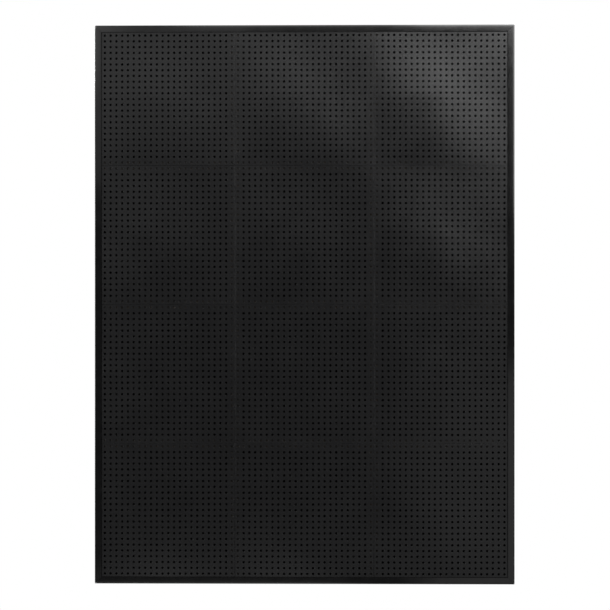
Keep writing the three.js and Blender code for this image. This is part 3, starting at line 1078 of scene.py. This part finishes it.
class PEGBOARD_OT_corner_keys(bpy.types.Operator):
    """Add the L-shaped keys in the frame's corners and the grub screws that lock them"""

    bl_idname = "pegboard.add_corner_keys"
    bl_label = "Corner keys"

    def add_key(self, corner):
        node = f"corner_key_{corner}"
        rail = rail_measures()
        side = dict(zip(CORNERS, SIDES))[corner]
        start, inwards, back, along = side_axes(side)
        low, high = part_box(node)
        near = rail["wall"] + rail["fit"]
        far = rail["reach"] - rail["web"] - rail["fit"]
        leg = high.x - cad_low.x if high.x < 0 else cad_high.x - low.x
        outline = [(near, near), (near, leg), (far, leg), (far, far), (leg, far), (leg, near)]
        plate = prism(outline, 0.0, high.y - low.y)
        place = Matrix.Translation(start + back * (low.y - start.y)) @ axes(inwards, along, back)
        plate.transform(place)
        piece = new_object(f"cast_{node}", outward(plate), shared_material(zinc_plate))
        bore = 0.0028
        reach = 0.01
        softening = 0.0003
        screws = nodes_named(f"grub_screw_{corner}_")
        cut_away(piece, [bore_at(screw, bore, reach) for screw in screws])
        soften_edges(piece, softening)
        smooth_by_angle(piece.data, 35)
        settle(piece, "zinc_steel", "board", node)

    def add_grub_screw(self, node):
        low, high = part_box(node)
        height = high.y - low.y
        radius = (high.x - low.x) / 2
        cup_height = 0.0006
        thread_start = 0.0009
        pitch = 0.0008
        ridge = 0.0003
        socket_depth = 0.0028
        past = 0.001
        profile = [(radius * 0.45, 0.0), (radius * 0.72, cup_height)]
        profile += threaded_profile(radius, thread_start, height - cup_height, pitch, ridge)
        profile += [(radius * 0.8, height)]
        screw = outward(turned(profile, 32))
        piece = new_object(f"hex_{node}", screw, shared_material(black_oxide_steel))
        socket = prism(hexagon(radius * 0.98), height - socket_depth, height + past)
        cut_away(piece, [outward(socket)])
        piece.data.transform(facing_back(node))
        smooth_by_angle(piece.data, 25)
        settle(piece, "black_steel", "board", node)

    def execute(self, context):
        for corner in CORNERS:
            self.add_key(corner)
            for number in (1, 2):
                self.add_grub_screw(f"grub_screw_{corner}_{number}")
        return {"FINISHED"}


class PEGBOARD_OT_frame_screws(bpy.types.Operator):
    """Add the countersunk screws that hold the batten ends"""

    bl_idname = "pegboard.add_frame_screws"
    bl_label = "Frame screws"

    def execute(self, context):
        material = shared_material(black_oxide_steel)
        seat = sizes().wall_thickness
        shank = 0.002
        rim = 0.0002
        plain_end = seat + 0.012
        thread_start = seat + 0.0125
        point = 0.005
        pitch = 0.0018
        ridge = 0.0005
        recess_depth = 0.0018
        upside_down = Matrix.Rotation(math.pi, 4, "X")
        for node in nodes_named("frame_screw_"):
            low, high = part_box(node)
            head = (high.y - low.y) / 2
            inwards = side_axes(node.split("_")[2])[1]
            span = (high - low).dot(Vector([abs(value) for value in inwards]))
            profile = [(head * 0.97, 0.0), (head, rim), (shank, seat), (shank, plain_end)]
            profile += threaded_profile(shank, thread_start, span - point, pitch, ridge)
            profile += [(rim, span)]
            piece = new_object(f"cross_{node}", outward(turned(profile, 32)), material)
            cut_away(piece, cross_recess(head * 1.1, recess_depth, upside_down))
            piece.data.transform(from_outer_face(node))
            smooth_by_angle(piece.data, 25)
            settle(piece, "black_steel", "board", node)
        return {"FINISHED"}


# ---- Battens -----------------------------------------------------------------------------


class PEGBOARD_OT_battens(bpy.types.Operator):
    """Add the halved battens behind the seams"""

    bl_idname = "pegboard.add_battens"
    bl_label = "Battens"

    def add_batten(self, node, material, notches):
        low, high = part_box(node)
        piece = new_object(f"sawn_{node}", outward(box_mesh(low, high)), material)
        cut_away(piece, notches)
        soften_edges(piece, sizes().batten_edge_round)
        smooth_by_angle(piece.data, 35)
        settle(piece, "batten", "board", node)

    def execute(self, context):
        uprights = ["upright_batten_1", "upright_batten_2"]
        crosses = ["cross_batten_1", "cross_batten_2", "cross_batten_3"]
        fit = rail_measures()["fit"]
        past = 0.002
        upright_wood = stained_batten("stained_upright_wood", (1.0, 1.0, 0.05))
        cross_wood = stained_batten("stained_cross_wood", (0.05, 1.0, 1.0))
        middle = node_middle(uprights[0]).y
        for node in uprights:
            low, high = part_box(node)
            notches = []
            for crossing in crosses:
                cross_low, cross_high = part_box(crossing)
                notch_low = (low.x - past, middle - fit / 2, cross_low.z - fit)
                notch_high = (high.x + past, high.y + past, cross_high.z + fit)
                notches.append(outward(box_mesh(notch_low, notch_high)))
            self.add_batten(node, upright_wood, notches)
        for node in crosses:
            low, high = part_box(node)
            notches = []
            for crossing in uprights:
                upright_low, upright_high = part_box(crossing)
                notch_low = (upright_low.x - fit, low.y - past, low.z - past)
                notch_high = (upright_high.x + fit, middle + fit / 2, high.z + past)
                notches.append(outward(box_mesh(notch_low, notch_high)))
            self.add_batten(node, cross_wood, notches)
        return {"FINISHED"}


# ---- Hangers -----------------------------------------------------------------------------


def joint_centre(hand):
    joint = next(joint for joint in frame["joints"] if joint["name"] == f"ring_{hand}_swing")
    return Vector(joint["pos_m"])


class PEGBOARD_OT_hangers(bpy.types.Operator):
    """Add the two D-ring hangers: straps, rings and screws"""

    bl_idname = "pegboard.add_hangers"
    bl_label = "D-ring hangers"

    def add_strap(self, hand):
        settings = sizes()
        node = f"hanger_strap_{hand}"
        low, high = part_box(node)
        pin = joint_centre(hand)
        thickness = settings.strap_thickness
        barrel = pin.y - low.y
        bore = barrel - thickness
        foot = pin.z - low.z
        half = (high.x - low.x) / 2
        rise = math.degrees(math.asin((thickness - barrel) / barrel))
        outline = [(foot, 0.0), (foot, thickness)]
        outline += arc((0.0, barrel), barrel, rise, 270, 30)
        strap = prism(outline, -half, half)
        # The section's x points down, its y points back, and the extrusion runs across
        place = Matrix.Translation((pin.x, low.y, pin.z)) @ axes((0, 0, -1), (0, 1, 0), (1, 0, 0))
        strap.transform(place)
        piece = new_object(f"rolled_{node}", outward(strap), shared_material(zinc_plate))
        hole = turned([(bore, -half * 1.5), (bore, half * 1.5)], 32)
        hole.transform(Matrix.Translation(pin) @ axes((0, 1, 0), (0, 0, 1), (1, 0, 0)))
        drill = 0.0019
        reach = 0.02
        softening = 0.00018
        drills = [bore_at(screw, drill, reach) for screw in nodes_named(f"hanger_screw_{hand}_")]
        cut_away(piece, [outward(hole), *drills])
        self.round_foot(piece, pin.x, pin.z - foot, half)
        soften_edges(piece, softening, degrees=40)
        smooth_by_angle(piece.data, 30)
        settle(piece, "zinc_steel", "board", node)

    def round_foot(self, piece, x, z, half):
        """Cuts the strap's lower end to a half round."""
        past = 0.002
        reach = 0.03
        ends = arc((x, z + half), half, 180, 360, 24)
        outline = [*ends, (x + half + past, z + half), (x + half + past, z - past)]
        outline += [(x - half - past, z - past), (x - half - past, z + half)]
        cutter = prism(outline, -reach, reach)
        cutter.transform(axes((1, 0, 0), (0, 0, 1), (0, -1, 0)))
        cut_away(piece, [outward(cutter)])

    def add_ring(self, hand):
        node = f"hanger_ring_{hand}"
        low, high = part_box(node)
        pin = joint_centre(hand)
        wire = sizes().ring_wire / 2
        bow = (high.x - low.x) / 2 - wire
        corner = 0.003
        drop = pin.z - low.z - wire
        bow_centre = drop - bow
        path = [(-(bow - corner) + 2 * (bow - corner) * step / 10, 0.0) for step in range(10)]
        path += arc((bow - corner, -corner), corner, 90, 0, 8)
        path += arc((0.0, -bow_centre), bow, 0, -180, 40)
        path += arc((-(bow - corner), -corner), corner, 180, 90, 8)[:-1]
        points = []
        sides = 16
        for step, (x, z) in enumerate(path):
            ahead = Vector(path[(step + 1) % len(path)])
            behind = Vector(path[step - 1])
            run = (ahead - behind).normalized()
            out = Vector((-run.y, run.x))
            for side in range(sides):
                angle = 2 * math.pi * side / sides
                shift = out * math.cos(angle) * wire
                points.append(pin + Vector((x + shift.x, math.sin(angle) * wire, z + shift.y)))
        faces = joined_loops(len(path), sides, closed=True)
        piece = new_object(f"wire_{node}", outward(mesh_from(points, faces)), shared_material(zinc_plate))
        piece.data.shade_smooth()
        settle(piece, "zinc_steel", f"ring_{hand}", node)

    def add_screw(self, node):
        low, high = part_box(node)
        head = (high.x - low.x) / 2
        shank = head / 2
        span = high.y - low.y
        height = 0.0018
        tip = 0.0002
        point = 0.003
        run_out = 0.0004
        pitch = 0.0011
        ridge = 0.0004
        recess_depth = 0.0012
        profile = [(tip, 0.0)]
        profile += threaded_profile(shank, point, span - height - run_out, pitch, ridge)
        profile.append((shank, span - height))
        # The pan head: share of its radius, and share of its height below the top
        for across, below in ((0.96, 1), (1, 0.85), (1, 0.6), (0.9, 0.28), (0.68, 0.08), (0.4, 0)):
            profile.append((head * across, span - height * below))
        piece = new_object(f"pan_{node}", outward(turned(profile, 32)), shared_material(zinc_plate))
        cut_away(piece, cross_recess(head * 1.1, recess_depth, Matrix.Translation((0, 0, span))))
        piece.data.transform(facing_back(node))
        smooth_by_angle(piece.data, 30)
        settle(piece, "zinc_steel", "board", node)

    def execute(self, context):
        for hand in HANDS:
            self.add_strap(hand)
            self.add_ring(hand)
            for number in (1, 2):
                self.add_screw(f"hanger_screw_{hand}_{number}")
        return {"FINISHED"}


# ---- Bumpers -----------------------------------------------------------------------------


class PEGBOARD_OT_bumpers(bpy.types.Operator):
    """Add the rubber bumpers pushed into the back of the frame"""

    bl_idname = "pegboard.add_bumpers"
    bl_label = "Wall bumpers"

    def execute(self, context):
        material = shared_material(bumper_rubber)
        stem = 0.002
        head_height = 0.0037
        shoulder = 0.0012
        softening = 0.0003
        for corner in CORNERS:
            node = f"wall_bumper_{corner}"
            low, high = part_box(node)
            radius = (high.x - low.x) / 2
            span = high.y - low.y
            seat = span - head_height
            profile = [(stem * 0.8, 0.0), (stem, softening), (stem, seat)]
            profile += [(radius * 0.96, seat), (radius, seat + softening)]
            profile += arc((radius - shoulder, span - shoulder), shoulder, 0, 90, 6)
            piece = new_object(f"soft_{node}", outward(turned(profile, 40)), material)
            piece.data.transform(facing_back(node))
            smooth_by_angle(piece.data, 35)
            settle(piece, "rubber", "board", node)
        return {"FINISHED"}


# ---- Studio ------------------------------------------------------------------------------

# Softboxes round the board, each aimed at its middle: name, turn to the right from the front
# and height above the horizon in degrees, and power in watts
SOFTBOXES = (
    ("key_upper_right", 18, 30, 15.5),
    ("key_right", 26, 16, 9.5),
    ("top_front", 0, 30, 3.7),
    ("upper_left", -25, 25, 1.8),
    ("inner_left", -15, 18, 0.9),
    ("inner_right", 18, -14, 1.1),
    ("low_front", -8, -30, 1.6),
    ("side_left", -45, 0, 30.0),
    ("side_right", 45, 20, 22.0),
    ("back_left", 215, 25, 70.0),
    ("back_right", 150, 35, 70.0),
)
SOFTBOX_DISTANCE = 3.0
SOFTBOX_SIZE = 1.0


class PEGBOARD_OT_stage(bpy.types.Operator):
    """Add the floor, the white surroundings, the lights and the camera"""

    bl_idname = "pegboard.add_stage"
    bl_label = "Stage"

    def add_floor(self):
        reach = 6.0
        drop = 1.0
        level = cad_low.z - drop
        mesh = mesh_from(
            [(-reach, -reach, level), (reach, -reach, level), (reach, reach, level), (-reach, reach, level)],
            [(0, 1, 2, 3)],
        )
        material, wiring, surface = start_material("pale_floor")
        surface.inputs["Roughness"].default_value = 0.9
        surface.inputs["Base Color"].default_value = opaque(colours().floor)
        glow = wiring.node("ShaderNodeEmission", {"Color": (1, 1, 1, 1), "Strength": 1.0})
        seen = wiring.node("ShaderNodeLightPath").outputs["Is Camera Ray"]
        mixed = wiring.node("ShaderNodeMixShader", {0: seen, 1: surface.outputs[0], 2: glow.outputs[0]})
        output = next(node for node in wiring.tree.nodes if node.type == "OUTPUT_MATERIAL")
        wiring.feed(output.inputs["Surface"], mixed.outputs[0])
        new_object("pale_floor", mesh, material)

    def add_surroundings(self, scene):
        world = bpy.data.worlds.new("white_studio")
        scene.world = world
        world.use_nodes = True
        world.node_tree.nodes.clear()
        wiring = Wiring(world.node_tree)
        white = wiring.node("ShaderNodeBackground", {"Color": (1, 1, 1, 1), "Strength": 1.0})
        dim = wiring.node("ShaderNodeBackground", {"Color": (1, 1, 1, 1), "Strength": studio().fill})
        seen = wiring.node("ShaderNodeLightPath").outputs["Is Camera Ray"]
        mixed = wiring.node("ShaderNodeMixShader", {0: seen, 1: dim.outputs[0], 2: white.outputs[0]})
        wiring.node("ShaderNodeOutputWorld", {"Surface": mixed.outputs[0]})
        scene.view_settings.view_transform = "Standard"

    def add_softbox(self, name, turn, height, power):
        lamp = bpy.data.lights.new(name, "AREA")
        lamp.shape = "SQUARE"
        lamp.size = SOFTBOX_SIZE
        lamp.energy = power
        light = bpy.data.objects.new(name, lamp)
        turn, height = math.radians(turn), math.radians(height)
        level = math.cos(height)
        towards = Vector((math.sin(turn) * level, -math.cos(turn) * level, math.sin(height)))
        light.location = towards * SOFTBOX_DISTANCE
        light.rotation_euler = (-towards).to_track_quat("-Z", "Y").to_euler()
        bpy.context.scene.collection.objects.link(light)

    def add_camera(self, scene):
        data = bpy.data.cameras.new("camera")
        distance = studio().camera_distance
        data.lens = data.sensor_width * distance / studio().view_width
        camera = bpy.data.objects.new("camera", data)
        turn = studio().camera_turn
        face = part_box("frame_rail_left")[0].y
        aim_right = 0.0015
        aim_down = 0.0011
        aim = Vector((aim_right, face, -aim_down))
        camera.location = aim + Vector((math.sin(turn), -math.cos(turn), 0.0)) * distance
        camera.rotation_euler = (aim - camera.location).to_track_quat("-Z", "Y").to_euler()
        scene.collection.objects.link(camera)
        scene.camera = camera

    def execute(self, context):
        self.add_floor()
        self.add_surroundings(context.scene)
        for softbox in SOFTBOXES:
            self.add_softbox(*softbox)
        self.add_camera(context.scene)
        return {"FINISHED"}


# ---- Add-on ------------------------------------------------------------------------------

OPERATORS = (
    PEGBOARD_OT_stage,
    PEGBOARD_OT_tiles,
    PEGBOARD_OT_backing,
    PEGBOARD_OT_frame,
    PEGBOARD_OT_corner_keys,
    PEGBOARD_OT_frame_screws,
    PEGBOARD_OT_battens,
    PEGBOARD_OT_hangers,
    PEGBOARD_OT_bumpers,
)


class PEGBOARD_PT_pieces(bpy.types.Panel):
    """Lists the pegboard's pieces"""

    bl_idname = "PEGBOARD_PT_pieces"
    bl_label = "Framed pegboard"
    bl_space_type = "VIEW_3D"
    bl_region_type = "UI"
    bl_category = "Pegboard"

    def draw(self, context):
        for operator in OPERATORS:
            self.layout.operator(operator.bl_idname)


GROUPS = {
    "pegboard_sizes": PegboardSizes,
    "pegboard_colours": PegboardColours,
    "pegboard_studio": PegboardStudio,
}
CLASSES = (*GROUPS.values(), *OPERATORS, PEGBOARD_PT_pieces)


def register():
    for item in CLASSES:
        bpy.utils.register_class(item)
    for name, group in GROUPS.items():
        setattr(bpy.types.Scene, name, PointerProperty(type=group))


def unregister():
    for name in GROUPS:
        delattr(bpy.types.Scene, name)
    for item in reversed(CLASSES):
        bpy.utils.unregister_class(item)


def main():
    register()
    for operator in OPERATORS:
        category, action = operator.bl_idname.split(".")
        getattr(getattr(bpy.ops, category), action)()


if __name__ == "__main__":
    main()
